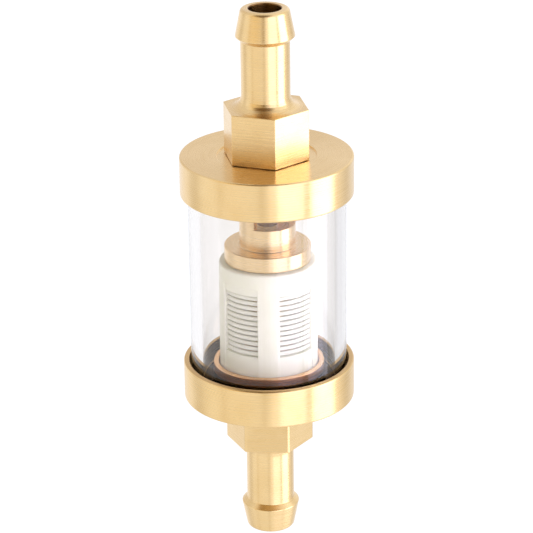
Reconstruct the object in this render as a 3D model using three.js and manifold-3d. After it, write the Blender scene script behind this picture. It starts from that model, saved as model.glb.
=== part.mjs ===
// In-line strainer filter for 8 mm hose: two turned brass caps on a glass tube, a hexagon and a hose barb
// on each end, and a finned strainer cage held on a brass post with a ring magnet.
// Millimetres. +Z runs along the axis towards the inlet, and the origin is the middle of the axis.
// Angles are in degrees about the axis, from -Y (the front) towards +X.
import * as THREE from "three";
import { mergeVertices } from "three/addons/utils/BufferGeometryUtils.js";
import Module from "manifold-3d";

const wasm = await Module();
wasm.setup();

// Driving dimensions.
const HALF_LENGTH = 46;
const SEGMENTS = 40;
const CHAMFER = 0.3;
const SLIP = 0.1; // radial play of a shank in its hole

const HOSE = { bore: 2.65, stem: 4, barb: 4.85, barbZ: 41.45, stemEndZ: 40.7, tip: 3.95, lip: 0.6, fillet: 2 };
const HEX = { acrossFlats: 12.7, baseZ: 21.1, topZ: 29.6, inletCorner: 10.9, outletCorner: 25.2 };
const CAP = { radius: 14.25, rimZ: 14.75, faceZ: 21.25, wall: 0.9, cupFloorZ: 19 };
const SPOT_FACE = { radius: 8.2, z: 21, washerRadius: 6.15, washerZ: 20.6 };
const GLASS = { outer: 13, inner: 11.1, halfLength: 18.2 };
const GASKET = { inner: 9.4, play: 0.05 };
const INLET_SHANK = { radius: 3.5, endZ: 14.6 };
const OUTLET_SHANK = { radius: 4.75, endZ: -15.5, counterbore: 4, counterboreZ: -19.5 };
const SEAT = { outer: 9.26, inner: 8.4, topZ: -14.5, floorZ: -17.6 };
const HUB = { radius: 6, topZ: -14, webZ: -15.3, portInner: 3, portOuter: 4.2, portSpan: 80, ports: 3 };
const STUB = { outer: 4.64, inner: 3.6, topZ: 18.6, floorZ: 9.5 };
const FLOW_WINDOW = { start: -28, span: 118, floorZ: 9.78, topZ: 14 };
const FLANGE = { radius: 7.18, bottomZ: 3.46, topZ: 6.05 };
const SPIGOT = { radius: 3.5, endZ: -6.4, threadTopZ: 0.5, grooveRadius: 2.95, grooveZ: [-1.25, -0.7] };
const CAGE = { top: 8.1, foot: 8.2, inner: 6.6, topZ: 3.36, footZ: -17, roof: 1.4, washerSeat: 5.5, washerDepth: 0.7 };
const WINDOW = { ribs: 5, ribHalfAngle: 12.7, topZ: -0.38, bottomZ: -11.22, fins: 12, gap: 0.44, finOuter: 7.75 };
const SCREW = { shank: 1.5, head: 2.5, tipZ: -0.6, headHeight: 2, slotWidth: 0.8, slotDepth: 0.9 };
const SCREW_WASHER = { outer: 2.8, thickness: 0.5 };
const MAGNET = { outer: 6.2, bottomZ: -0.7, topZ: 1.8 };
const CLIP = { inner: 3, outer: 4.9, bottomZ: -1.2, topZ: -0.75, openSpan: 70 };

const BRASS = { color: 0xe0be82, roughness: 0.35, metalness: 1 };
const IVORY = { color: 0xf0ece0, roughness: 0.45, metalness: 0 };
const RUBBER = { color: 0x1c1a18, roughness: 0.7, metalness: 0 };
const FIBRE = { color: 0x7c3428, roughness: 0.8, metalness: 0 };
const NICKEL = { color: 0xc9c6c0, roughness: 0.25, metalness: 1 };
const STEEL = { color: 0xb4b6ba, roughness: 0.3, metalness: 1 };
const CLEAR = { color: 0xf2f6f6, roughness: 0.03, metalness: 0, transparent: true, opacity: 0.25 };

const degrees = Math.PI / 180;

// A point of the plan at a radius and an angle from the front.
function planPoint(radius, angle) {
  return new THREE.Vector2(radius * Math.sin(angle * degrees), -radius * Math.cos(angle * degrees));
}

// Points [radius, height] along an arc of a turned outline, from one angle to another.
function arc(centreR, centreZ, radius, from, to, steps) {
  return Array.from({ length: steps + 1 }, (_, i) => {
    const angle = (from + ((to - from) * i) / steps) * degrees;
    return [centreR + radius * Math.cos(angle), centreZ + radius * Math.sin(angle)];
  });
}

// A turned piece: an outline of [radius, height] points, which closes on itself or along the axis.
function turned(outline) {
  const doubleArea = outline.reduce((sum, [r, z], i) => {
    const [nextR, nextZ] = outline[(i + 1) % outline.length];
    return sum + r * nextZ - nextR * z;
  }, 0);
  const points = outline.map(([r, z]) => new THREE.Vector2(r, z));
  if (doubleArea < 0) points.reverse();
  const startsOnAxis = points[0].x === 0 && points[points.length - 1].x === 0;
  if (!startsOnAxis) points.push(points[0].clone());
  return new THREE.LatheGeometry(points, SEGMENTS).rotateX(Math.PI / 2);
}

// The same outline on the other side of the middle plane.
function mirrored(outline) {
  return outline.map(([r, z]) => [r, -z]);
}

// A flat ring of rectangular section.
function ring(inner, outer, bottomZ, topZ) {
  return turned([[inner, bottomZ], [outer, bottomZ], [outer, topZ], [inner, topZ]]);
}

function extruded(points, bottomZ, topZ) {
  const shape = new THREE.Shape(points);
  const geometry = new THREE.ExtrudeGeometry(shape, { depth: topZ - bottomZ, bevelEnabled: false });
  return geometry.translate(0, 0, bottomZ);
}

// A sector of a ring, from one angle to another.
function sector(inner, outer, from, to, bottomZ, topZ) {
  const steps = Math.max(1, Math.round((to - from) / (360 / SEGMENTS)));
  const angles = Array.from({ length: steps + 1 }, (_, i) => from + ((to - from) * i) / steps);
  const outside = angles.map((angle) => planPoint(outer, angle));
  const inside = angles.map((angle) => planPoint(inner, angle)).reverse();
  return extruded([...outside, ...inside], bottomZ, topZ);
}

function hexagon(cornerAngle, bottomZ, topZ) {
  const cornerRadius = HEX.acrossFlats / 2 / Math.cos(30 * degrees);
  const corners = Array.from({ length: 6 }, (_, i) => planPoint(cornerRadius, cornerAngle + 60 * i));
  return extruded(corners, bottomZ, topZ);
}

function toSolid(geometry) {
  const bare = geometry.clone();
  bare.deleteAttribute("normal");
  bare.deleteAttribute("uv");
  const merged = mergeVertices(bare, 1e-4);
  const vertProperties = new Float32Array(merged.attributes.position.array);
  const triVerts = new Uint32Array(merged.index.array);
  return new wasm.Manifold(new wasm.Mesh({ numProp: 3, vertProperties, triVerts }));
}

function toGeometry(solid) {
  const mesh = solid.getMesh();
  const geometry = new THREE.BufferGeometry();
  geometry.setAttribute("position", new THREE.BufferAttribute(new Float32Array(mesh.vertProperties), 3));
  geometry.setIndex(new THREE.BufferAttribute(new Uint32Array(mesh.triVerts), 1));
  const faceted = geometry.toNonIndexed();
  faceted.computeVertexNormals();
  return faceted;
}

// The base with the joined geometries added and the cut ones taken away.
function combined(base, joined, cut) {
  const whole = joined.reduce((solid, geometry) => solid.add(toSolid(geometry)), toSolid(base));
  return toGeometry(cut.reduce((solid, geometry) => solid.subtract(toSolid(geometry)), whole));
}

const filter = new THREE.Group();

function add(name, geometry, finish) {
  const mesh = new THREE.Mesh(geometry, new THREE.MeshStandardMaterial(finish));
  mesh.name = name;
  filter.add(mesh);
}

// The outside of a hose tail from the hexagon to the tip, with the fillet at its root.
function hoseTail() {
  const tipZ = HALF_LENGTH;
  const root = arc(HOSE.stem + HOSE.fillet, HEX.topZ + HOSE.fillet, HOSE.fillet, 270, 180, 4);
  const lip = arc(HOSE.tip - HOSE.lip, tipZ - HOSE.lip, HOSE.lip, 0, 90, 3);
  return [...root, [HOSE.stem, HOSE.stemEndZ], [HOSE.barb, HOSE.barbZ], ...lip, [HOSE.bore, tipZ]];
}

function inletFitting() {
  const coreRadius = HOSE.stem + HOSE.fillet;
  const shank = [[HOSE.bore, INLET_SHANK.endZ], [INLET_SHANK.radius, INLET_SHANK.endZ]];
  const neck = [[INLET_SHANK.radius, HEX.baseZ + 0.5], [coreRadius, HEX.baseZ + 0.5]];
  const body = turned([...shank, ...neck, ...hoseTail()]);
  const bore = turned([[0, INLET_SHANK.endZ - 1], [HOSE.bore, INLET_SHANK.endZ - 1], [HOSE.bore, 47], [0, 47]]);
  return combined(body, [hexagon(HEX.inletCorner, HEX.baseZ, HEX.topZ)], [bore]);
}

function outletFitting() {
  const coreRadius = HOSE.stem + HOSE.fillet;
  const shank = [
    [HOSE.bore, -OUTLET_SHANK.counterboreZ],
    [OUTLET_SHANK.counterbore, -OUTLET_SHANK.counterboreZ],
    [OUTLET_SHANK.counterbore, -OUTLET_SHANK.endZ],
    [OUTLET_SHANK.radius, -OUTLET_SHANK.endZ],
  ];
  const neck = [[OUTLET_SHANK.radius, HEX.baseZ + 0.5], [coreRadius, HEX.baseZ + 0.5]];
  const body = turned(mirrored([...shank, ...neck, ...hoseTail()]));
  const bore = turned([[0, -47], [HOSE.bore, -47], [HOSE.bore, -19], [0, -19]]);
  return combined(body, [hexagon(HEX.outletCorner, -HEX.topZ, -HEX.baseZ)], [bore]);
}

// The outside of a cap from its cup floor round the rim to the washer seat under the hexagon.
function capOutline() {
  const cupRadius = CAP.radius - CAP.wall;
  return [
    [cupRadius, CAP.cupFloorZ],
    [cupRadius, CAP.rimZ],
    [CAP.radius - CHAMFER, CAP.rimZ],
    [CAP.radius, CAP.rimZ + CHAMFER],
    [CAP.radius, CAP.faceZ - CHAMFER],
    [CAP.radius - CHAMFER, CAP.faceZ],
    [SPOT_FACE.radius, CAP.faceZ],
    [SPOT_FACE.radius, SPOT_FACE.z],
    [SPOT_FACE.washerRadius, SPOT_FACE.z],
    [SPOT_FACE.washerRadius, SPOT_FACE.washerZ],
  ];
}

function topCap() {
  const hole = INLET_SHANK.radius + SLIP;
  return turned([[hole, CAP.cupFloorZ], ...capOutline(), [hole, SPOT_FACE.washerZ]]);
}

// The bottom cap has a raised ring that the cage stands in, and a hub whose web takes the tie screw.
function bottomCap() {
  const thread = OUTLET_SHANK.radius + SLIP;
  const screwHole = SCREW.shank + SLIP;
  const body = turned([
    [screwHole, HUB.topZ],
    [HUB.radius, HUB.topZ],
    [HUB.radius, SEAT.floorZ],
    [SEAT.inner, SEAT.floorZ],
    [SEAT.inner, SEAT.topZ],
    [SEAT.outer, SEAT.topZ],
    [SEAT.outer, -CAP.cupFloorZ],
    ...mirrored(capOutline()),
    [thread, -SPOT_FACE.washerZ],
    [thread, HUB.webZ],
    [screwHole, HUB.webZ],
  ]);
  const ports = Array.from({ length: HUB.ports }, (_, i) => {
    const start = (360 / HUB.ports) * i;
    return sector(HUB.portInner, HUB.portOuter, start, start + HUB.portSpan, HUB.webZ - 1, HUB.topZ + 1);
  });
  return combined(body, [], ports);
}

// A flat washer for the end of the glass to bear on. The lower one is the upper one turned over.
function glassGasket() {
  const outer = CAP.radius - CAP.wall - GASKET.play;
  return [
    [GASKET.inner, CAP.cupFloorZ],
    [outer, CAP.cupFloorZ],
    [outer, GLASS.halfLength],
    [GASKET.inner, GLASS.halfLength],
  ];
}

function centrePost() {
  const threadHole = SCREW.shank + 0.05;
  const [grooveBottomZ, grooveTopZ] = SPIGOT.grooveZ;
  const body = turned([
    [0, SPIGOT.threadTopZ],
    [threadHole, SPIGOT.threadTopZ],
    [threadHole, SPIGOT.endZ],
    [SPIGOT.radius, SPIGOT.endZ],
    [SPIGOT.radius, grooveBottomZ],
    [SPIGOT.grooveRadius, grooveBottomZ],
    [SPIGOT.grooveRadius, grooveTopZ],
    [SPIGOT.radius, grooveTopZ],
    [SPIGOT.radius, FLANGE.bottomZ],
    [FLANGE.radius, FLANGE.bottomZ],
    [FLANGE.radius, FLANGE.topZ],
    [STUB.outer, FLANGE.topZ],
    [STUB.outer, STUB.topZ],
    [STUB.inner, STUB.topZ],
    [STUB.inner, STUB.floorZ],
    [0, STUB.floorZ],
  ]);
  const { start, span, floorZ, topZ } = FLOW_WINDOW;
  const windows = [0, 180].map((turn) => sector(3, 6, start + turn, start + span + turn, floorZ, topZ));
  return combined(body, [], windows);
}

// The cage is a tapered shell with a roof. Thin fins fill the windows between its upright ribs.
function strainerCage() {
  const roofZ = CAGE.topZ - CAGE.roof;
  const hole = SPIGOT.radius + SLIP;
  const shell = turned([
    [CAGE.inner, CAGE.footZ],
    [CAGE.foot, CAGE.footZ],
    [CAGE.top, CAGE.topZ],
    [CAGE.washerSeat, CAGE.topZ],
    [CAGE.washerSeat, CAGE.topZ - CAGE.washerDepth],
    [hole, CAGE.topZ - CAGE.washerDepth],
    [hole, roofZ],
    [CAGE.inner, roofZ],
  ]);
  const ribPitch = 360 / WINDOW.ribs;
  const finHeight = (WINDOW.topZ - WINDOW.bottomZ - (WINDOW.fins + 1) * WINDOW.gap) / WINDOW.fins;
  const openings = [];
  const fins = [];
  for (let rib = 0; rib < WINDOW.ribs; rib += 1) {
    const from = rib * ribPitch + WINDOW.ribHalfAngle;
    const to = (rib + 1) * ribPitch - WINDOW.ribHalfAngle;
    openings.push(sector(CAGE.inner - 0.5, CAGE.foot + 0.5, from, to, WINDOW.bottomZ, WINDOW.topZ));
    for (let fin = 0; fin < WINDOW.fins; fin += 1) {
      const bottomZ = WINDOW.bottomZ + WINDOW.gap + fin * (finHeight + WINDOW.gap);
      fins.push(sector(CAGE.inner + 0.1, WINDOW.finOuter, from - 1, to + 1, bottomZ, bottomZ + finHeight));
    }
  }
  const frame = openings.reduce((solid, opening) => solid.subtract(toSolid(opening)), toSolid(shell));
  return toGeometry(fins.reduce((solid, fin) => solid.add(toSolid(fin)), frame));
}

function tieScrew() {
  const headTopZ = HUB.webZ - SCREW_WASHER.thickness;
  const headBottomZ = headTopZ - SCREW.headHeight;
  const body = turned([
    [0, headBottomZ],
    [SCREW.head, headBottomZ],
    [SCREW.head, headTopZ],
    [SCREW.shank, headTopZ],
    [SCREW.shank, SCREW.tipZ],
    [0, SCREW.tipZ],
  ]);
  const slot = new THREE.BoxGeometry(SCREW.slotWidth, 3 * SCREW.head, 2 * SCREW.slotDepth);
  return combined(body, [], [slot.translate(0, 0, headBottomZ)]);
}

// A retaining ring, open at the back so that it springs into the groove of the post.
function magnetClip() {
  const from = -180 + CLIP.openSpan / 2;
  const to = 180 - CLIP.openSpan / 2;
  return sector(CLIP.inner, CLIP.outer, from, to, CLIP.bottomZ, CLIP.topZ);
}

add("inlet_fitting", inletFitting(), BRASS);
add("inlet_washer", ring(INLET_SHANK.radius + SLIP, 6, SPOT_FACE.washerZ, HEX.baseZ), FIBRE);
add("top_cap", topCap(), BRASS);
add("upper_glass_gasket", turned(glassGasket()), RUBBER);
add("glass_tube", ring(GLASS.inner, GLASS.outer, -GLASS.halfLength, GLASS.halfLength), CLEAR);
add("lower_glass_gasket", turned(mirrored(glassGasket())), RUBBER);
add("bottom_cap", bottomCap(), BRASS);
add("outlet_washer", ring(OUTLET_SHANK.radius + SLIP, 6, -HEX.baseZ, -SPOT_FACE.washerZ), FIBRE);
add("outlet_fitting", outletFitting(), BRASS);
add("centre_post", centrePost(), BRASS);
add("strainer_cage", strainerCage(), IVORY);
add("strainer_top_washer", ring(SPIGOT.radius + SLIP, 5.4, CAGE.topZ - CAGE.washerDepth, FLANGE.bottomZ), RUBBER);
add("strainer_seat_washer", ring(6.1, 8.3, SEAT.floorZ, CAGE.footZ), RUBBER);
add("tie_screw", tieScrew(), STEEL);
add("tie_screw_washer", ring(1.6, SCREW_WASHER.outer, HUB.webZ - SCREW_WASHER.thickness, HUB.webZ), STEEL);
add("ring_magnet", ring(SPIGOT.radius + SLIP, MAGNET.outer, MAGNET.bottomZ, MAGNET.topZ), NICKEL);
add("magnet_clip", magnetClip(), STEEL);

export default filter;
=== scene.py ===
import math

import bmesh
import bpy
import numpy as np
from mathutils import Matrix, Vector


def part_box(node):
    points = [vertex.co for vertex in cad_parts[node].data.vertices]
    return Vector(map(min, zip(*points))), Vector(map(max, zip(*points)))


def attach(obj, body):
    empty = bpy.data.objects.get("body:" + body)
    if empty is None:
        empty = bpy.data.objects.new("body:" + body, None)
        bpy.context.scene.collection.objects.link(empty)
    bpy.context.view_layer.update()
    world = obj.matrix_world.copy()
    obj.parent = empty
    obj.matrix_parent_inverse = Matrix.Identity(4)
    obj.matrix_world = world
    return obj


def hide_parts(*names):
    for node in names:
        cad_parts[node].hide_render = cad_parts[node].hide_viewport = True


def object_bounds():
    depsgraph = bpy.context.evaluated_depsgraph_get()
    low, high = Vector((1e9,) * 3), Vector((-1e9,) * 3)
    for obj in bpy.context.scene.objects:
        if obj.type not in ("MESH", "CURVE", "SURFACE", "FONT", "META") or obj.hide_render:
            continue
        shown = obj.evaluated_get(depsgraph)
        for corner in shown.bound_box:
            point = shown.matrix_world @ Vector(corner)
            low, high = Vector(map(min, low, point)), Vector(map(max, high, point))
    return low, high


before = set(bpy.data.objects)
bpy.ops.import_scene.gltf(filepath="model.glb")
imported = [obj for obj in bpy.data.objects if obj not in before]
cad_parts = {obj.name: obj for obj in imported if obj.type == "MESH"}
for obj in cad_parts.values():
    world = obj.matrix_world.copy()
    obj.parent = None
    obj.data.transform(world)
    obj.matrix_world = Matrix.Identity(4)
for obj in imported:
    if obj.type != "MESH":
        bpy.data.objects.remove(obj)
cadBox = [list(corner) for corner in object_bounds()]

mm = 0.001
rightTurn, halfTurn, fullTurn = 90, 180, 360     # degrees


def nodeBox(node):
    # lowest and highest corner of a CAD node, in millimetres
    low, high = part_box(node)
    return np.array(low) / mm, np.array(high) / mm


# helpers that add shader nodes


def addNode(tree, kind, **values):
    node = tree.nodes.new(kind)
    for key, value in values.items():
        setattr(node, key, value)
    return node


def mathNode(tree, operation, *values):
    # each value is a number or another node's output
    node = addNode(tree, "ShaderNodeMath", operation=operation)
    for socket, value in zip(node.inputs, values):
        if isinstance(value, (int, float)):
            socket.default_value = value
        else:
            tree.links.new(value, socket)
    return node.outputs[0]


def mapRange(tree, source, low, high, toLow=0, toHigh=1, kind="LINEAR"):
    node = addNode(tree, "ShaderNodeMapRange", interpolation_type=kind)
    tree.links.new(source, node.inputs["Value"])
    for label, value in (("From Min", low), ("From Max", high), ("To Min", toLow), ("To Max", toHigh)):
        node.inputs[label].default_value = value
    return node.outputs["Result"]


def mixColour(tree, factor, first, second):
    node = addNode(tree, "ShaderNodeMix", data_type="RGBA")
    tree.links.new(factor, node.inputs["Factor"])
    for socket, value in ((node.inputs["A"], first), (node.inputs["B"], second)):
        if isinstance(value, tuple):
            socket.default_value = (*value, 1)
        else:
            tree.links.new(value, socket)
    return node.outputs["Result"]


# camera, floor and light

cameraLook = {
    "elevation": 22.369,      # degrees above the horizon
    "distance": 0.43614,      # from the filter's middle, metres
    "roll": -0.717,           # degrees: the filter leans to the left
    "aimRight": -0.000232,    # shifts of the camera to its right and upwards, metres
    "aimUp": 0.001422,
    "lens": 177.94,
    "sensor": 36,
}


def makeCamera():
    tilt = math.radians(cameraLook["elevation"])
    right = Vector((1, 0, 0))
    up = Vector((0, math.sin(tilt), math.cos(tilt)))
    back = Vector((0, -math.cos(tilt), math.sin(tilt)))
    place = right * cameraLook["aimRight"] + up * cameraLook["aimUp"] + back * cameraLook["distance"]
    roll = Matrix.Rotation(math.radians(cameraLook["roll"]), 3, back)
    turn = Matrix((roll @ right, roll @ up, back)).transposed()
    data = bpy.data.cameras.new("camera")
    data.lens = cameraLook["lens"]
    data.sensor_width = cameraLook["sensor"]
    data.clip_start = 0.01
    camera = bpy.data.objects.new("camera", data)
    camera.matrix_world = Matrix.Translation(place) @ turn.to_4x4()
    bpy.context.collection.objects.link(camera)
    bpy.context.scene.camera = camera


studio = {
    "floorDrop": 0.26,        # the filter hangs on its hoses, this far above the floor
    "floorSize": 6.0,
    "colour": (1.06, 1.07, 1.11),   # light of the world and of the glowing floor, which takes no shadow
}

# patches of the surrounding light, seen from the filter: azimuth from the front towards +X and elevation,
# how far they reach to half strength and how soft their rim is, all in degrees, and their share of the light
surroundings = {
    "camera": {"azimuth": -9, "elevation": 16, "reach": 7, "soft": 8, "light": (0.40, 0.31, 0.20)},
    "stand": {"azimuth": -5, "elevation": 1, "reach": 4, "soft": 5, "light": (0.50, 0.42, 0.32)},
    "overhead": {"azimuth": -14, "elevation": 56, "reach": 30, "soft": 22, "light": (0.14, 0.08, 0.03)},
    "warmFront": {"azimuth": -42, "elevation": 28, "reach": 30, "soft": 28, "light": (0.98, 0.82, 0.55)},
    "dimBackLeft": {"azimuth": 204, "elevation": 26, "reach": 26, "soft": 26, "light": (0.78, 0.74, 0.70)},
    "dimBackRight": {"azimuth": 137, "elevation": -16, "reach": 22, "soft": 20, "light": (0.87, 0.87, 0.88)},
}

# dim upright strips between the lights: azimuth, half width and softness in degrees, share of the light
strips = {
    "frontGap": {"azimuth": -7, "reach": 2, "soft": 4, "light": (0.84, 0.80, 0.74)},
    "leftGap": {"azimuth": -64, "reach": 4, "soft": 5, "light": (0.88, 0.85, 0.80)},
    "farLeftGap": {"azimuth": -110, "reach": 11, "soft": 14, "light": (0.80, 0.78, 0.75)},
    "farRightGap": {"azimuth": 127, "reach": 8, "soft": 10, "light": (0.86, 0.845, 0.82)},
}

# softboxes: azimuth from the front towards +X, height, distance, width and tall side, brightness
softboxes = {
    "frontEdge": {"azimuth": 7, "z": -0.04, "distance": 0.50, "size": (0.08, 0.64),
                  "light": 0.30, "colour": (1.0, 0.96, 1.2)},
    "frontRight": {"azimuth": 31, "z": -0.04, "distance": 0.50, "size": (0.33, 0.64),
                   "light": 1.06, "colour": (1.0, 0.90, 1.25)},
    "right": {"azimuth": 77, "z": -0.04, "distance": 0.50, "size": (0.33, 0.64),
              "light": 2.05, "colour": (1.0, 0.97, 1.2)},
}


def towards(azimuth, elevation):
    turn, lift = math.radians(azimuth), math.radians(elevation)
    return Vector((math.sin(turn) * math.cos(lift), -math.cos(turn) * math.cos(lift), math.sin(lift)))


def addSoftbox(name, look):
    place = towards(look["azimuth"], 0) * look["distance"]
    place.z = look["z"]
    data = bpy.data.lights.new(name, "AREA")
    data.shape = "RECTANGLE"
    data.size, data.size_y = look["size"]
    data.color = look["colour"]
    # an area lamp of radiance L and area A gives a power of pi A L
    data.energy = look["light"] * math.pi * data.size * data.size_y
    lamp = bpy.data.objects.new(name, data)
    lamp.location = place
    lamp.rotation_euler = Vector((-place.x, -place.y, 0)).to_track_quat("-Z", "Y").to_euler()
    lamp.visible_camera = False
    bpy.context.collection.objects.link(lamp)


def dimmed(tree, light, value, low, high, share):
    # the light so far times a colour that goes from white to the share as the value goes from low to high
    patch = mapRange(tree, value, low, high, kind="SMOOTHSTEP")
    product = addNode(tree, "ShaderNodeVectorMath", operation="MULTIPLY")
    tree.links.new(mixColour(tree, patch, (1, 1, 1), share), product.inputs[0])
    if light is None:
        product.inputs[1].default_value = studio["colour"]
    else:
        tree.links.new(light, product.inputs[1])
    return product.outputs[0]


def alongAxis(tree, direction, axis):
    # the direction's part along the axis
    along = addNode(tree, "ShaderNodeVectorMath", operation="DOT_PRODUCT")
    tree.links.new(direction, along.inputs[0])
    along.inputs[1].default_value = axis
    return along.outputs["Value"]


def rimAngles(look):
    # angles where a patch has ended and where it is whole, in radians
    half = look["soft"] / 2
    return math.radians(look["reach"] + half), math.radians(max(look["reach"] - half, 0))


def patchLight(tree, direction):
    # the studio's colour with a soft-edged patch or strip for each entry of the surroundings and the strips
    light = None
    for look in surroundings.values():
        outside, inside = rimAngles(look)
        along = alongAxis(tree, direction, towards(look["azimuth"], look["elevation"]))
        light = dimmed(tree, light, along, math.cos(outside), math.cos(inside), look["light"])
    for look in strips.values():
        # the size of the direction's part across the strip, pushed out of range behind the filter
        outside, inside = rimAngles(look)
        across = alongAxis(tree, direction, towards(look["azimuth"] + rightTurn, 0))
        ahead = alongAxis(tree, direction, towards(look["azimuth"], 0))
        behind = mathNode(tree, "LESS_THAN", ahead, 0)
        size = mathNode(tree, "ADD", mathNode(tree, "ABSOLUTE", across), behind)
        light = dimmed(tree, light, size, math.sin(outside), math.sin(inside), look["light"])
    return light


def makeWorld():
    world = bpy.data.worlds.new("studio")
    bpy.context.scene.world = world
    world.use_nodes = True
    tree = world.node_tree
    light = patchLight(tree, tree.nodes.new("ShaderNodeTexCoord").outputs["Generated"])
    tree.links.new(light, tree.nodes["Background"].inputs["Color"])


def makeFloor():
    half = studio["floorSize"] / 2
    z = cadBox[0][2] - studio["floorDrop"]
    mesh = bpy.data.meshes.new("floor")
    corners = [(-half, -half, z), (half, -half, z), (half, half, z), (-half, half, z)]
    mesh.from_pydata(corners, [], [(0, 1, 2, 3)])
    floor = bpy.data.objects.new("floor", mesh)
    bpy.context.collection.objects.link(floor)
    material = bpy.data.materials.new("paleFloor")
    material.use_nodes = True
    tree = material.node_tree
    shader = tree.nodes["Principled BSDF"]
    shader.inputs["Base Color"].default_value = (0, 0, 0, 1)
    shader.inputs["Specular IOR Level"].default_value = 0
    shader.inputs["Emission Strength"].default_value = 1
    outward = addNode(tree, "ShaderNodeVectorMath", operation="NORMALIZE")
    tree.links.new(tree.nodes.new("ShaderNodeTexCoord").outputs["Object"], outward.inputs[0])
    tree.links.new(patchLight(tree, outward.outputs[0]), shader.inputs["Emission Color"])
    mesh.materials.append(material)


def makeStudio():
    makeWorld()
    makeFloor()
    for name, look in softboxes.items():
        addSoftbox(name, look)
    bpy.context.scene.view_settings.view_transform = "Standard"


makeCamera()
makeStudio()
print("camera and studio ready")


# node groups and materials


def newGroup(name, inputs, outputs):
    group = bpy.data.node_groups.new(name, "ShaderNodeTree")
    for label, kind, value in inputs:
        socket = group.interface.new_socket(label, in_out="INPUT", socket_type=kind)
        if value is not None:
            socket.default_value = value
    for label, kind in outputs:
        group.interface.new_socket(label, in_out="OUTPUT", socket_type=kind)
    return group, group.nodes.new("NodeGroupInput"), group.nodes.new("NodeGroupOutput")


def brushLinesGroup():
    # brush lines that run round the axis: noise that changes fast with the height, and with the radius
    # where the surface faces along the axis, and slowly round the turn
    group, given, result = newGroup(
        "brushLines",
        [("Vector", "NodeSocketVector", None), ("Normal", "NodeSocketVector", None),
         ("Fineness", "NodeSocketFloat", 6000.0), ("Run", "NodeSocketFloat", 160.0),
         ("Detail", "NodeSocketFloat", 3.0)],
        [("Lines", "NodeSocketFloat"), ("Clouds", "NodeSocketFloat"), ("Radius", "NodeSocketFloat"),
         ("Height", "NodeSocketFloat")],
    )
    parts = group.nodes.new("ShaderNodeSeparateXYZ")
    group.links.new(given.outputs["Vector"], parts.inputs[0])
    x, y, z = parts.outputs
    squares = [mathNode(group, "MULTIPLY", side, side) for side in (x, y)]
    radius = mathNode(group, "SQRT", mathNode(group, "ADD", *squares))
    place = group.nodes.new("ShaderNodeCombineXYZ")
    for socket, side, rate in zip(place.inputs, (x, y, z), ("Run", "Run", "Fineness")):
        group.links.new(mathNode(group, "MULTIPLY", side, given.outputs[rate]), socket)
    noise = addNode(group, "ShaderNodeTexNoise", noise_dimensions="4D")
    noise.inputs["Scale"].default_value = 1
    noise.inputs["Roughness"].default_value = 0.6
    group.links.new(given.outputs["Detail"], noise.inputs["Detail"])
    group.links.new(place.outputs[0], noise.inputs["Vector"])
    facing = group.nodes.new("ShaderNodeSeparateXYZ")
    group.links.new(given.outputs["Normal"], facing.inputs[0])
    across = mathNode(group, "MULTIPLY", radius, mathNode(group, "ABSOLUTE", facing.outputs[2]))
    group.links.new(mathNode(group, "MULTIPLY", across, given.outputs["Fineness"]), noise.inputs["W"])
    clouds = addNode(group, "ShaderNodeTexNoise", noise_dimensions="3D")
    clouds.inputs["Scale"].default_value = 260
    clouds.inputs["Detail"].default_value = 2
    group.links.new(given.outputs["Vector"], clouds.inputs["Vector"])
    group.links.new(noise.outputs["Fac"], result.inputs["Lines"])
    group.links.new(clouds.outputs["Fac"], result.inputs["Clouds"])
    group.links.new(radius, result.inputs["Radius"])
    group.links.new(z, result.inputs["Height"])
    return group


brushLines = brushLinesGroup()


def newMaterial(name):
    material = bpy.data.materials.new(name)
    material.use_nodes = True
    tree = material.node_tree
    shader = tree.nodes["Principled BSDF"]
    coordinates = tree.nodes.new("ShaderNodeTexCoord")
    return material, tree, shader, coordinates.outputs


def placeGroup(tree, group, coordinates, **values):
    node = addNode(tree, "ShaderNodeGroup", node_tree=group)
    tree.links.new(coordinates["Object"], node.inputs["Vector"])
    tree.links.new(coordinates["Normal"], node.inputs["Normal"])
    for label, value in values.items():
        node.inputs[label].default_value = value
    return node.outputs


def spread(tree, noise, low=0, high=1):
    # nearly all of a noise texture lies between 0.3 and 0.7; this stretches it to low and high
    return mapRange(tree, noise, 0.3, 0.7, low, high)


def addBump(tree, shader, height, strength, distance):
    bump = tree.nodes.new("ShaderNodeBump")
    bump.inputs["Strength"].default_value = strength
    bump.inputs["Distance"].default_value = distance
    tree.links.new(height, bump.inputs["Height"])
    tree.links.new(bump.outputs["Normal"], shader.inputs["Normal"])


def paintedShadeMask(tree, brush, paintedShade):
    # one where both the radius and the height lie in the painted shade's ranges, and zero elsewhere
    masks = []
    for label in ("Radius", "Height"):
        low, high = paintedShade[label]
        middle, half = (low + high) / 2 * mm, (high - low) / 2 * mm
        masks.append(mathNode(tree, "COMPARE", brush[label], middle, half))
    return mathNode(tree, "MULTIPLY", *masks)


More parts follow.
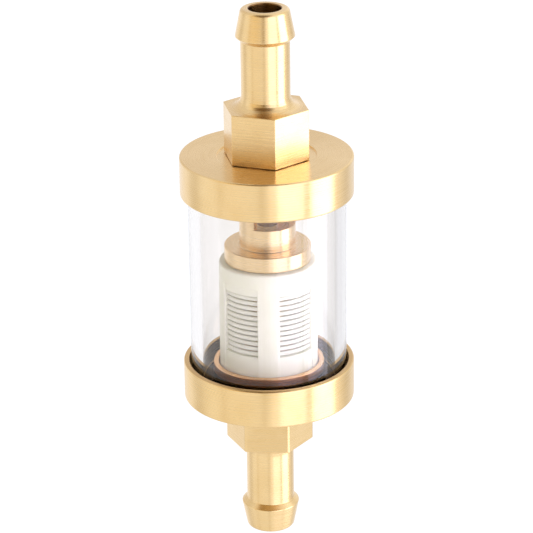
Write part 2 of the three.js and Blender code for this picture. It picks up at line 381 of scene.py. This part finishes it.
def brassMaterial(name, look):
    # satin turned brass under a thin clear lacquer: fine lines round the axis shift its colour, gloss and
    # surface, and painted shade and painted dark reflections darken some regions
    material, tree, shader, coordinates = newMaterial(name)
    brush = placeGroup(tree, brushLines, coordinates, Fineness=look["fineness"], Run=look["run"])
    streaked = mixColour(tree, spread(tree, brush["Lines"]), look["dark"], look["light"])
    colour = mixColour(tree, spread(tree, brush["Clouds"]), streaked, look["light"])
    # painted shade and painted reflections: darker colours laid over the regions in the look's list
    for paintedShade in look["paintedShades"]:
        colour = mixColour(tree, paintedShadeMask(tree, brush, paintedShade), colour, paintedShade["colour"])
    tree.links.new(colour, shader.inputs["Base Color"])
    shader.inputs["Metallic"].default_value = 1
    shader.inputs["Coat Weight"].default_value = look["lacquer"]
    shader.inputs["Coat Roughness"].default_value = look["lacquerRoughness"]
    shader.inputs["Coat IOR"].default_value = look["lacquerIor"]
    tree.links.new(spread(tree, brush["Lines"], *look["roughness"]), shader.inputs["Roughness"])
    shader.inputs["Anisotropic"].default_value = look["anisotropic"]
    shader.inputs["Anisotropic Rotation"].default_value = 0.25     # a quarter turn: highlights run upright
    tangent = addNode(tree, "ShaderNodeTangent", direction_type="RADIAL", axis="Z")
    tree.links.new(tangent.outputs[0], shader.inputs["Tangent"])
    addBump(tree, shader, brush["Lines"], look["bump"], look["bumpDepth"])
    return material


# painted shade and painted reflections, laid on as colour: its colour, and the ranges of radius and
# height where it lies, in millimetres
paintedShades = {
    # painted shade: dark brown in the fittings' bores, where little light reaches
    "bore": {"colour": (0.28, 0.14, 0.04), "Radius": (0, 2.8), "Height": (-60, 60)},
    # painted shade: the same dark brown in the centre post's screw hole
    "spigotHole": {"colour": (0.28, 0.14, 0.04), "Radius": (0, 1.7), "Height": (-60, 60)},
    # painted shade: browner brass inside the bottom cup
    "cupInside": {"colour": (0.88, 0.54, 0.27), "Radius": (0, 12), "Height": (-18.8, 0)},
    # painted shade and painted reflection: deep brown on the seat ring's outer wall
    "seatWall": {"colour": (0.80, 0.34, 0.13), "Radius": (8.9, 12), "Height": (-15.95, -14.6)},
    # painted shadow: near black at the seat ring's foot
    "seatFoot": {"colour": (0.05, 0.03, 0.015), "Radius": (8.9, 12), "Height": (-18.8, -15.95)},
    # painted dark reflection: a darker line on the cup's rim
    "cupRim": {"colour": (0.66, 0.44, 0.20), "Radius": (13.3, 14.15), "Height": (-14.9, -14.6)},
}
satinBrass = {"light": (0.875, 0.635, 0.315), "dark": (0.79, 0.545, 0.235), "fineness": 5200.0, "run": 90.0,
              "roughness": (0.22, 0.34), "anisotropic": 0.84, "bump": 0.2, "bumpDepth": 0.00002,
              "lacquer": 0.25, "lacquerRoughness": 0.16, "lacquerIor": 1.7, "paintedShades": [paintedShades["bore"]]}
brassLooks = {
    "satinBrass": satinBrass,
    "cupBrass": {**satinBrass, "lacquer": 0.0,
                 "paintedShades": [paintedShades["cupInside"], paintedShades["seatWall"], paintedShades["seatFoot"], paintedShades["cupRim"]]},
    "innerBrass": {**satinBrass, "light": (0.90, 0.68, 0.40), "dark": (0.83, 0.60, 0.33), "fineness": 4200.0,
                   "roughness": (0.2, 0.3), "anisotropic": 0.7, "bump": 0.08,
                   "paintedShades": [paintedShades["spigotHole"]]},
}


glassFinish = {"face": (0.955, 0.935, 0.91), "slanting": (0.90, 0.88, 0.865), "slant": 0.3,
               "specular": 0.16, "ior": 1.47, "shadow": (0.94, 0.95, 0.95, 1)}


def glassMaterial():
    # clear glass, greyer where it is seen at a slant, which lets the light of the lamps through its wall
    material, tree, shader, coordinates = newMaterial("clearGlass")
    slant = tree.nodes.new("ShaderNodeLayerWeight")
    slant.inputs["Blend"].default_value = glassFinish["slant"]
    tint = mixColour(tree, slant.outputs["Facing"], glassFinish["face"], glassFinish["slanting"])
    tree.links.new(tint, shader.inputs["Base Color"])
    shader.inputs["Roughness"].default_value = 0
    shader.inputs["Specular IOR Level"].default_value = glassFinish["specular"]
    shader.inputs["Transmission Weight"].default_value = 1
    shader.inputs["IOR"].default_value = glassFinish["ior"]
    path = tree.nodes.new("ShaderNodeLightPath")
    clear = tree.nodes.new("ShaderNodeBsdfTransparent")
    clear.inputs[0].default_value = glassFinish["shadow"]
    mixed = tree.nodes.new("ShaderNodeMixShader")
    tree.links.new(path.outputs["Is Shadow Ray"], mixed.inputs[0])
    tree.links.new(shader.outputs[0], mixed.inputs[1])
    tree.links.new(clear.outputs[0], mixed.inputs[2])
    tree.links.new(mixed.outputs[0], tree.nodes["Material Output"].inputs["Surface"])
    return material


def grainMaterial(name, look):
    # colour, gloss and surface vary with a fine grain; the look's sockets are set as they stand
    material, tree, shader, coordinates = newMaterial(name)
    grain = addNode(tree, "ShaderNodeTexNoise", noise_dimensions="3D")
    grain.inputs["Scale"].default_value = look["scale"]
    grain.inputs["Detail"].default_value = look.get("detail", 4)
    tree.links.new(coordinates["Object"], grain.inputs["Vector"])
    value = grain.outputs["Fac"]
    colour = mixColour(tree, spread(tree, value), look["dark"], look["light"])
    tree.links.new(colour, shader.inputs["Base Color"])
    tree.links.new(spread(tree, value, *look["roughness"]), shader.inputs["Roughness"])
    for label, setting in look.get("sockets", {}).items():
        shader.inputs[label].default_value = setting
    addBump(tree, shader, value, look["bump"], grainDepth)
    return material


grainDepth = 0.00003
grainLooks = {
    "blackRubber": {"dark": (0.016, 0.009, 0.005), "light": (0.032, 0.018, 0.011), "scale": 1800,
                    "roughness": (0.5, 0.7), "bump": 0.2},
    # dark rubber, tinted brown as a painted reflection of the brass round the glass seals
    "paintedReflectionRubber": {"dark": (0.060, 0.034, 0.019), "light": (0.095, 0.056, 0.033), "scale": 1800,
                   "roughness": (0.5, 0.7), "bump": 0.2, "sockets": {"Specular IOR Level": 0.2}},
    "redFibre": {"dark": (0.20, 0.05, 0.03), "light": (0.30, 0.09, 0.06), "scale": 2600,
                 "roughness": (0.6, 0.8), "bump": 0.3},
    "plainSteel": {"dark": (0.50, 0.50, 0.50), "light": (0.62, 0.62, 0.62), "scale": 3000,
                   "roughness": (0.2, 0.34), "bump": 0.05, "sockets": {"Metallic": 1}},
    "nickelPlate": {"dark": (0.66, 0.63, 0.58), "light": (0.74, 0.71, 0.66), "scale": 900,
                    "roughness": (0.08, 0.16), "bump": 0.02, "sockets": {"Metallic": 1}},
    # moulded plastic lets a little light pass through its skin
    "ivoryPlastic": {"dark": (0.90, 0.905, 0.765), "light": (0.93, 0.935, 0.805), "scale": 420, "detail": 3,
                     "roughness": (0.32, 0.44), "bump": 0.08,
                     "sockets": {"Subsurface Weight": 0.5, "Subsurface Radius": (0.95, 1.0, 0.85),
                                 "Subsurface Scale": 0.0015}},
}

materials = {name: brassMaterial(name, look) for name, look in brassLooks.items()}
materials.update({name: grainMaterial(name, look) for name, look in grainLooks.items()})
materials["clearGlass"] = glassMaterial()
print("materials ready")


# surfaces


def turnAngles(count):
    # column angles of a turned piece, from the front (-Y) towards +X
    return np.arange(count) * (2 * np.pi / count)


def roundCorners(outline, steps=5):
    # outline rows are radius, height, corner radius and any further numbers, which the arc's points keep;
    # each corner becomes the arc that touches both its sides, where they are the corner's radius over the
    # tangent of half its angle away from it
    rows = np.array(outline, float)
    before, after = np.roll(rows, 1, 0), np.roll(rows, -1, 0)
    made = []
    for row, last, following in zip(rows, before, after):
        if row[2] <= 0:
            made.append(row)
            continue
        toLast, toNext = last[:2] - row[:2], following[:2] - row[:2]
        toLast, toNext = toLast / np.linalg.norm(toLast), toNext / np.linalg.norm(toNext)
        half = np.arccos(np.clip(toLast @ toNext, -1, 1)) / 2
        reach = row[2] / np.tan(half)
        centre = row[:2] + (toLast + toNext) / np.linalg.norm(toLast + toNext) * row[2] / np.sin(half)
        start, end = row[:2] + toLast * reach - centre, row[:2] + toNext * reach - centre
        swing = np.pi - 2 * half
        t = np.linspace(0, 1, steps + 1)[:, None]
        arc = centre + (np.sin((1 - t) * swing) * start + np.sin(t * swing) * end) / np.sin(swing)
        made.extend(np.concatenate([point, row[2:]]) for point in arc)
    return holdStraights(np.array(made))


def holdStraights(rows, margin=0.05):
    # a long straight side gets a row a margin away from each of its ends, so that the shading of a rounded
    # corner stays at the corner; the side that closes the outline along the axis gets none
    made = []
    for row, following in zip(rows, np.roll(rows, -1, 0)):
        made.append(row)
        length = np.hypot(*(following - row)[:2])
        if length > 4 * margin and row[0] + following[0] > 0:
            share = margin / length
            made.append(row + (following - row) * share)
            made.append(row + (following - row) * (1 - share))
    return np.array(made)


def gridFaces(rows, columns, loopRows):
    # quads of a grid whose columns wrap round; its rows wrap too when loopRows is set
    index = np.arange(rows * columns).reshape(rows, columns)
    upper = np.roll(index, -1, 0) if loopRows else index[1:]
    lower = index if loopRows else index[:-1]
    quads = np.stack([lower, np.roll(lower, -1, 1), np.roll(upper, -1, 1), upper], -1)
    return quads.reshape(-1, 4)


def buildPiece(name, points, faces, material, body, node, sharpAngle=32, ends=()):
    # points in millimetres, quads, and the wider faces that close open ends; doubles are merged and the
    # faces turned outwards
    mesh = bpy.data.meshes.new(name)
    mesh.from_pydata((points.reshape(-1, 3) * mm).tolist(), [], [*faces.tolist(), *ends])
    work = bmesh.new()
    work.from_mesh(mesh)
    bmesh.ops.remove_doubles(work, verts=work.verts, dist=1e-7)
    bmesh.ops.recalc_face_normals(work, faces=work.faces)
    work.to_mesh(mesh)
    work.free()
    mesh.polygons.foreach_set("use_smooth", np.ones(len(mesh.polygons), bool))
    mesh.set_sharp_from_angle(angle=math.radians(sharpAngle))
    mesh.materials.append(materials[material])
    piece = bpy.data.objects.new(name, mesh)
    bpy.context.collection.objects.link(piece)
    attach(piece, body)
    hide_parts(node)


def revolve(radii, heights, angles):
    # the point at radius r, height z and angle a is (r sin a, -r cos a, z)
    radii = np.broadcast_to(radii, (len(heights), len(angles)))
    z = np.broadcast_to(heights[:, None], radii.shape)
    return np.stack([radii * np.sin(angles), -radii * np.cos(angles), z], -1)


def turnedPiece(name, outline, material, body, node, count=192):
    # a closed outline of radius and height, carried round the axis
    rows = roundCorners(outline)
    angles = turnAngles(count)
    points = revolve(rows[:, :1], rows[:, 1], angles)
    buildPiece(name, points, gridFaces(len(rows), count, True), material, body, node)


def cutWindows(rows, count, isOpen, outerSide, innerSide, wraps):
    # leaves out the quads between two rows on the outer side and the same two on the inner side, in the
    # open columns, and lines the hole with walls; each side is a pair of (radius, height) points
    def rowAt(point):
        return int(np.argmin(np.hypot(rows[:, 0] - point[0], rows[:, 1] - point[1])))

    outer, inner = [rowAt(point) for point in outerSide], [rowAt(point) for point in innerSide]
    mask = np.ones((len(rows), count), bool)
    for pair in (outer, inner):
        mask[min(pair):max(pair)] &= ~isOpen
    faces = gridFaces(len(rows), count, wraps).reshape(-1, count, 4)
    columns = np.flatnonzero(isOpen)
    after = (columns + 1) % count
    walls = [np.stack([a * count + columns, a * count + after, b * count + after, b * count + columns], -1)
             for a, b in zip(outer, inner)]
    steps = abs(outer[1] - outer[0])
    up = np.round(np.linspace(outer[0], outer[1], steps + 1)).astype(int)
    down = np.round(np.linspace(inner[0], inner[1], steps + 1)).astype(int)
    starts = columns[~isOpen[(columns - 1) % count]]
    ends = after[~isOpen[after]]
    for edge in np.concatenate([starts, ends]):
        walls.append(np.stack([up[:-1] * count + edge, up[1:] * count + edge,
                               down[1:] * count + edge, down[:-1] * count + edge], -1))
    return np.concatenate([faces[mask[:len(faces)]], *walls])


def flipped(outline):
    return [(row[0], -row[1], *row[2:]) for row in outline]


# caps

capLow, capHigh = nodeBox("top_cap")
capLook = {
    "radius": capHigh[0],
    "rim": capLow[2],
    "face": capHigh[2],
    "wall": 0.9,
    "edge": 0.3,
    "spotRadius": 8.2,
    "spotDepth": 0.25,
    "washerRadius": 6.15,
    "washerDepth": 0.65,
    "cupFloor": 19.0,
    "hole": 3.6,
}


def capOutline():
    # the part of the outline that both caps share, from the cup's floor round the outside to the recess of
    # the washer, as (radius, height, corner radius)
    c = capLook
    return [
        (c["radius"] - c["wall"], c["cupFloor"], 0.3),
        (c["radius"] - c["wall"], c["rim"], 0.12),
        (c["radius"], c["rim"], c["edge"]),
        (c["radius"], c["face"], c["edge"]),
        (c["spotRadius"], c["face"], 0.08),
        (c["spotRadius"] - 0.1, c["face"] - c["spotDepth"], 0.06),
        (c["washerRadius"], c["face"] - c["spotDepth"], 0.05),
        (c["washerRadius"], c["face"] - c["washerDepth"], 0),
    ]


def makeTopCap():
    # a cup, open downwards, with a hole through its floor
    c = capLook
    outline = [(c["hole"], c["cupFloor"], 0.15), *capOutline(),
               (c["hole"], c["face"] - c["washerDepth"], 0.15)]
    turnedPiece("turnedTopCap", outline, "satinBrass", "top_cap", "top_cap")


seatLook = {"outer": 9.26, "inner": 8.4, "top": -14.5, "floor": -17.6, "hubRadius": 6.0, "hubTop": -14.0,
            "web": -15.3, "screwHole": 1.6, "thread": 4.85, "portInner": 3.0, "portOuter": 4.2,
            "ports": 3, "portSpan": 80}     # each port's span in degrees


def makeBottomCap():
    # the top cap's cup upside down, with the strainer's seat ring and a hub on its floor; three ports are
    # cut through the hub's web
    s, c = seatLook, capLook
    outline = [
        (s["screwHole"], s["hubTop"], 0),
        (s["portInner"], s["hubTop"], 0),
        (s["portOuter"], s["hubTop"], 0),
        (s["hubRadius"], s["hubTop"], 0.3),
        (s["hubRadius"], s["floor"], 0.3),
        (s["inner"], s["floor"], 0.2),
        (s["inner"], s["top"], 0.15),
        (s["outer"], s["top"], 0.15),
        (s["outer"], -c["cupFloor"], 0.2),
        *flipped(capOutline()),
        (s["thread"], -(c["face"] - c["washerDepth"]), 0.2),
        (s["thread"], s["web"], 0.1),
        (s["portOuter"], s["web"], 0),
        (s["portInner"], s["web"], 0),
        (s["screwHole"], s["web"], 0),
    ]
    rows = roundCorners(outline)
    count = 216
    angles = turnAngles(count)
    points = revolve(rows[:, :1], rows[:, 1], angles)
    isOpen = np.arange(count) * fullTurn / count % (fullTurn / s["ports"]) < s["portSpan"]
    sides = (s["portOuter"], s["portInner"])
    faces = cutWindows(rows, count, isOpen, [(r, s["hubTop"]) for r in sides], [(r, s["web"]) for r in sides],
                       True)
    buildPiece("turnedBottomCap", points, faces, "cupBrass", "base", "bottom_cap")


makeTopCap()
makeBottomCap()
print("caps ready")


# hose fittings: the lengths of both, then what differs

tailLook = {
    "tip": nodeBox("inlet_fitting")[1][2],
    "bore": 2.65,
    "lipRadius": 3.95,
    "lipRound": 0.62,
    "barbRadius": 4.85,
    "barbZ": 41.45,
    "barbRound": 0.18,
    "stemEnd": 40.7,
    "stem": 4.0,
    "fillet": 2.0,
    "hexTop": 29.6,
    "hexBase": 21.04,
    "washerFace": 0.08,       # the step under the hexagon
    "faceInset": 0.35,
    "apothem": 6.35,
    "edge": 0.1,
    "topInset": 0.3,
    "chamfer": 0.3,           # at the end of the shank
    "neckDepth": 0.15,        # the groove between thread and hexagon
    "neckStart": 0.8,
    "neckFull": 0.6,
    "threadGap": 1.0,         # from the hexagon to the last thread
    "threadFade": (0.5, 0.8),
    "rowsPerPitch": 12,
}

fittingLooks = {
    "inlet": {"node": "inlet_fitting", "corner": 10.9, "cornerRound": 0.16, "shank": 3.5, "end": 14.6,
              "pitch": 0.75, "threadDepth": 0.4, "flip": 1},
    "outlet": {"node": "outlet_fitting", "corner": 25.2, "cornerRound": 0.4, "shank": 4.75, "end": 15.5,
               "pitch": 1.0, "threadDepth": 0.5, "flip": -1, "counterbore": 4.0, "counterboreEnd": 19.5},
}


def hexColumns(corner, cornerRound):
    # column angles that crowd at the six corners, and the hexagon's radius at each less its apothem: the
    # apothem over the cosine along a flat, and the far crossing with the corner's circle at a corner
    apothem = tailLook["apothem"]
    halfSector, sector = math.radians(30), math.radians(60)
    cornerColumns, flatColumns = 9, 24
    reach = (apothem - cornerRound) / math.cos(halfSector)
    touch = math.atan2(cornerRound * math.sin(halfSector), reach + cornerRound * math.cos(halfSector))
    near = np.linspace(-touch, touch, cornerColumns)
    far = np.linspace(touch, sector - touch, flatColumns + 2)[1:-1]
    fromCorner = np.tile(np.concatenate([near, far]), 6)
    starts = np.repeat(np.arange(6), cornerColumns + flatColumns) * sector
    angles = fromCorner + starts + math.radians(corner)
    away = np.minimum(np.abs(fromCorner), np.abs(sector - fromCorner))
    flat = apothem / np.cos(halfSector - away)
    arc = reach * np.cos(away) + np.sqrt(np.maximum(cornerRound**2 - (reach * np.sin(away)) ** 2, 0))
    return angles, np.where(away <= touch + 1e-9, arc, flat) - apothem


def fittingOutline(look):
    # rows of radius, height, corner radius, and how much of the hexagon's shape the row takes
    t, shank = tailLook, look["shank"]
    face = t["hexBase"] + t["washerFace"]
    inside = [(t["bore"], look["end"], 0.12, 0)]
    if "counterbore" in look:
        inside = [(t["bore"], look["counterboreEnd"], 0.1, 0),
                  (look["counterbore"], look["counterboreEnd"], 0.1, 0),
                  (look["counterbore"], look["end"], 0.1, 0)]
    return [
        *inside,
        (shank - t["chamfer"], look["end"], 0, 0),
        (shank, look["end"] + t["chamfer"], 0, 0),
        (shank, t["hexBase"] - t["neckStart"], 0, 0),
        (shank - t["neckDepth"], t["hexBase"] - t["neckFull"], 0, 0),
        (shank - t["neckDepth"], t["hexBase"], 0, 0),
        (t["apothem"] - t["faceInset"], t["hexBase"], 0, 0),
        (t["apothem"] - t["faceInset"], face, 0, 0),
        (t["apothem"], face, 0.06, 1),
        (t["apothem"], t["hexTop"], t["edge"], 1),
        (t["apothem"] - t["topInset"], t["hexTop"], 0, 1),
        (t["stem"] + t["fillet"] + 0.02, t["hexTop"], 0, 0),
        (t["stem"], t["hexTop"], t["fillet"], 0),
        (t["stem"], t["stemEnd"], 0.12, 0),
        (t["barbRadius"], t["barbZ"], t["barbRound"], 0),
        (t["lipRadius"], t["tip"], t["lipRound"], 0),
        (t["bore"], t["tip"], 0.18, 0),
    ]


def makeFitting(name):
    # the outline carried round the axis, with the hexagon's extra radius on its rows; the thread cuts a
    # triangle wave of (height + pitch * turn) / pitch into the shank's rows, which fades out at both ends
    t, look = tailLook, fittingLooks[name]
    shank, pitch = look["shank"], look["pitch"]
    rows = roundCorners(fittingOutline(look), steps=6)
    first, last = [int(np.argmin(np.hypot(rows[:, 0] - shank, rows[:, 1] - height)))
                   for height in (look["end"] + t["chamfer"], t["hexBase"] - t["neckStart"])]
    low, high = look["end"] + t["chamfer"], t["hexBase"] - t["threadGap"]
    heights = np.linspace(low, high, int((high - low) / pitch * t["rowsPerPitch"]))
    threads = np.stack([np.full(len(heights), shank), heights, *np.zeros((2, len(heights)))], -1)
    rows = np.concatenate([rows[:first + 1], threads[1:-1], rows[last:]])
    onThread = np.zeros(len(rows), bool)
    onThread[first + 1:first + len(threads) - 1] = True
    angles, extra = hexColumns(look["corner"], look["cornerRound"])
    z = rows[:, 1][:, None]
    wave = np.abs(((z + look["flip"] * pitch * angles / (2 * np.pi)) / pitch) % 1 * 2 - 1)
    fade = np.clip((z - low) / t["threadFade"][0], 0, 1) * np.clip((high - z) / t["threadFade"][1], 0, 1)
    cut = np.where(onThread[:, None], wave * look["threadDepth"] * fade, 0)
    points = revolve(rows[:, :1] + rows[:, 3:] * extra - cut, rows[:, 1] * look["flip"], angles)
    buildPiece(name + "HoseFitting", points, gridFaces(len(rows), len(angles), True), "satinBrass",
               look["node"], look["node"])


for name in fittingLooks:
    makeFitting(name)
print("hose fittings ready")


# glass, gaskets and washers

glassHigh = nodeBox("glass_tube")[1]
glassLook = {"outer": glassHigh[0], "inner": 11.1, "half": glassHigh[2], "edge": 0.35}


def ringOutline(inner, outer, bottom, top, edge):
    # a rectangle of radius and height with its four corners rounded
    return [(inner, bottom, edge), (outer, bottom, edge), (outer, top, edge), (inner, top, edge)]


def makeGlass():
    g = glassLook
    outline = ringOutline(g["inner"], g["outer"], -g["half"], g["half"], g["edge"])
    turnedPiece("glassTube", outline, "clearGlass", "glass", "glass_tube", count=256)


rings = {
    "upperGlassSeal": {"node": "upper_glass_gasket", "body": "top_cap", "inner": 9.4, "edge": 0.15,
                       "material": "paintedReflectionRubber", "slot": "black_rubber"},
    "lowerGlassSeal": {"node": "lower_glass_gasket", "body": "base", "inner": 9.4, "edge": 0.15,
                       "material": "paintedReflectionRubber", "slot": "black_rubber"},
    "inletSealRing": {"node": "inlet_washer", "body": "inlet_washer", "inner": 3.6, "edge": 0.08,
                      "material": "redFibre", "slot": "red_fibre"},
    "outletSealRing": {"node": "outlet_washer", "body": "outlet_washer", "inner": 4.85, "edge": 0.08,
                       "material": "redFibre", "slot": "red_fibre"},
    "strainerTopSeal": {"node": "strainer_top_washer", "body": "strainer", "inner": 3.6, "edge": 0.2,
                        "material": "blackRubber", "slot": "black_rubber"},
    "strainerSeatSeal": {"node": "strainer_seat_washer", "body": "base", "inner": 6.1, "edge": 0.15,
                         "material": "blackRubber", "slot": "black_rubber"},
    "ringMagnet": {"node": "ring_magnet", "body": "strainer", "inner": 3.6, "edge": 0.25,
                   "material": "nickelPlate", "slot": "nickel_plate"},
    "screwWasher": {"node": "tie_screw_washer", "body": "base", "inner": 1.6, "edge": 0.06,
                    "material": "plainSteel", "slot": "steel"},
}


def makeRings():
    # gaskets, washers and the magnet: outside and ends from the node's box
    for name, look in rings.items():
        low, high = nodeBox(look["node"])
        outline = ringOutline(look["inner"], high[0], low[2], high[2], look["edge"])
        turnedPiece(name, outline, look["material"], look["body"], look["node"], count=128)


makeGlass()
makeRings()
print("glass and seals ready")


# centre post; window angles in degrees

postLook = {
    "stub": 4.64, "stubInner": 3.6, "stubTop": 18.6, "stubFloor": 9.5,
    "windowStart": -28, "windowSpan": 118, "windowFloor": 9.78, "windowTop": 14.0,
    "flange": 7.18, "flangeTop": 6.05, "flangeBottom": 3.46,
    "spigot": 3.5, "spigotEnd": -6.4, "groove": 2.95, "grooveLow": -1.25, "grooveHigh": -0.7,
    "threadHole": 1.55, "threadTop": 0.5,
    "windowColumns": 60, "wallColumns": 32,
}


def makePost():
    # the outline carried round the axis; the stub's wall has rows at the same heights outside and inside,
    # so that the two flow windows, half a turn apart, can be left open and lined with walls
    p = postLook
    outline = [
        (0, p["threadTop"], 0),
        (p["threadHole"], p["threadTop"], 0),
        (p["threadHole"], p["spigotEnd"], 0.2),
        (p["spigot"], p["spigotEnd"], 0.35),
        (p["spigot"], p["grooveLow"], 0),
        (p["groove"], p["grooveLow"], 0),
        (p["groove"], p["grooveHigh"], 0),
        (p["spigot"], p["grooveHigh"], 0),
        (p["spigot"], p["flangeBottom"], 0.1),
        (p["flange"], p["flangeBottom"], 0.14),
        (p["flange"], p["flangeTop"], 0.14),
        (p["stub"], p["flangeTop"], 0.12),
        (p["stub"], p["windowFloor"], 0),
        (p["stub"], p["windowTop"], 0),
        (p["stub"], p["stubTop"], 0.2),
        (p["stubInner"], p["stubTop"], 0.25),
        (p["stubInner"], p["windowTop"], 0),
        (p["stubInner"], p["windowFloor"], 0),
        (p["stubInner"], p["stubFloor"], 0.2),
        (0, p["stubFloor"], 0),
    ]
    rows = roundCorners(outline)
    start, end = p["windowStart"], p["windowStart"] + p["windowSpan"]
    half = np.concatenate([np.linspace(start, end, p["windowColumns"], endpoint=False),
                           np.linspace(end, start + halfTurn, p["wallColumns"], endpoint=False)])
    angles = np.radians(np.concatenate([half, half + halfTurn]))
    count = len(angles)
    isOpen = np.tile(np.arange(len(half)) < p["windowColumns"], 2)
    points = revolve(rows[:, :1], rows[:, 1], angles)
    ends = (p["windowFloor"], p["windowTop"])
    faces = cutWindows(rows, count, isOpen, [(p["stub"], z) for z in ends],
                       [(p["stubInner"], z) for z in ends], False)
    buildPiece("turnedCentrePost", points, faces, "innerBrass", "strainer", "centre_post")


makePost()
print("centre post ready")


# strainer cage; ribHalf, ribMargin, ribEdge and finTuck in degrees

cageLook = {
    "top": 8.1, "foot": 8.2, "inner": 6.6, "topZ": 3.36, "footZ": -17.0, "roof": 1.4,
    "washerSeat": 5.5, "washerDepth": 0.7, "hole": 3.6,
    "ribs": 5, "ribHalf": 12.7, "windowTop": -0.38, "windowBottom": -11.22,
    "fins": 12, "gap": 0.17, "finOuter": 7.75, "finInner": 7.25, "finRound": 0.22,
    "finColumns": 25, "finTuck": 1,
    "ribRaise": 0.14, "ribTop": 0.8, "ribSlope": 0.15, "ribEdge": 0.35, "ribMargin": 2,
    "windowColumns": 30, "ribColumns": 14,
}


def makeCageShell():
    # an outline carried round the axis, whose outer radius grows evenly from top to foot; between the ribs
    # it is less by the ribs' raise, and the windows are left open and lined with walls
    c = cageLook

    def outer(z):
        return c["foot"] + (c["top"] - c["foot"]) * (z - c["footZ"]) / (c["topZ"] - c["footZ"])

    outline = [
        (c["inner"], c["footZ"], 0.15, 0),
        (outer(c["footZ"]), c["footZ"], 0.2, 1),
        (outer(c["windowBottom"]), c["windowBottom"], 0, 1),
        (outer(c["windowTop"]), c["windowTop"], 0, 1),
        (outer(c["ribTop"] - c["ribSlope"]), c["ribTop"] - c["ribSlope"], 0, 1),
        (outer(c["ribTop"]), c["ribTop"], 0, 0),
        (outer(c["topZ"]), c["topZ"], 0.35, 0),
        (c["washerSeat"], c["topZ"], 0.1, 0),
        (c["washerSeat"], c["topZ"] - c["washerDepth"], 0, 0),
        (c["hole"], c["topZ"] - c["washerDepth"], 0, 0),
        (c["hole"], c["topZ"] - c["roof"], 0, 0),
        (c["inner"], c["topZ"] - c["roof"], 0.3, 0),
        (c["inner"], c["windowTop"], 0, 0),
        (c["inner"], c["windowBottom"], 0, 0),
    ]
    rows = roundCorners(outline)
    pitch = fullTurn / c["ribs"]
    start, end = pitch - c["ribHalf"], pitch + c["ribHalf"]     # of a rib
    sector = np.concatenate([np.linspace(c["ribHalf"], start, c["windowColumns"], endpoint=False),
                             [start, start + c["ribEdge"]],
                             np.linspace(start + c["ribMargin"], end - c["ribMargin"], c["ribColumns"]),
                             [end - c["ribEdge"]]])
    angles = np.radians(np.concatenate([sector + pitch * i for i in range(c["ribs"])]))
    count = len(angles)
    inSector = np.arange(count) % len(sector)
    isOpen = inSector < c["windowColumns"]
    drop = np.where(inSector <= c["windowColumns"], c["ribRaise"], 0)
    points = revolve(rows[:, :1] - rows[:, 3:] * drop, rows[:, 1], angles)
    ends = (c["windowBottom"], c["windowTop"])
    faces = cutWindows(rows, count, isOpen, [(outer(z), z) for z in ends],
                       [(c["inner"], z) for z in ends], True)
    buildPiece("mouldedCage", points, faces, "ivoryPlastic", "strainer", "strainer_cage")


def makeFins():
    # each fin is a rounded bar of the section (r, z) carried round its window: the point at angle a is
    # (r sin a, -r cos a, z), and both its ends are tucked inside the ribs
    c = cageLook
    height = (c["windowTop"] - c["windowBottom"] - (c["fins"] + 1) * c["gap"]) / c["fins"]
    section = roundCorners(ringOutline(c["finInner"], c["finOuter"], 0, height, c["finRound"]), steps=2)
    pitch = fullTurn / c["ribs"]
    start, end = c["ribHalf"] - c["finTuck"], pitch - c["ribHalf"] + c["finTuck"]
    across = np.radians(np.linspace(start, end, c["finColumns"]))
    sectors = np.radians(np.arange(c["ribs"]) * pitch)
    bottoms = c["windowBottom"] + c["gap"] + np.arange(c["fins"]) * (height + c["gap"])
    # the axes are rib, fin, column and section point
    angle = across[None, None, :, None] + sectors[:, None, None, None]
    r, z = section[:, 0], section[:, 1] + bottoms[None, :, None, None]
    points = np.stack(np.broadcast_arrays(r * np.sin(angle), -r * np.cos(angle), z), -1)
    size = c["finColumns"] * len(section)
    index = np.arange(size).reshape(c["finColumns"], len(section))
    side = np.stack([index[:-1], index[1:], np.roll(index[1:], -1, 1), np.roll(index[:-1], -1, 1)], -1)
    bars = np.arange(c["ribs"] * c["fins"]) * size
    faces = (side.reshape(-1, 4)[None] + bars[:, None, None]).reshape(-1, 4)
    ends = np.concatenate([index[0] + bars[:, None], index[-1][::-1] + bars[:, None]]).tolist()
    buildPiece("mouldedFins", points, faces, "ivoryPlastic", "strainer", "strainer_cage",
               sharpAngle=50, ends=ends)


makeCageShell()
makeFins()
print("strainer cage ready")


# the nodes that stay get their finish
for node in ("tie_screw", "magnet_clip"):
    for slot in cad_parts[node].material_slots:
        slot.material = materials["plainSteel"]
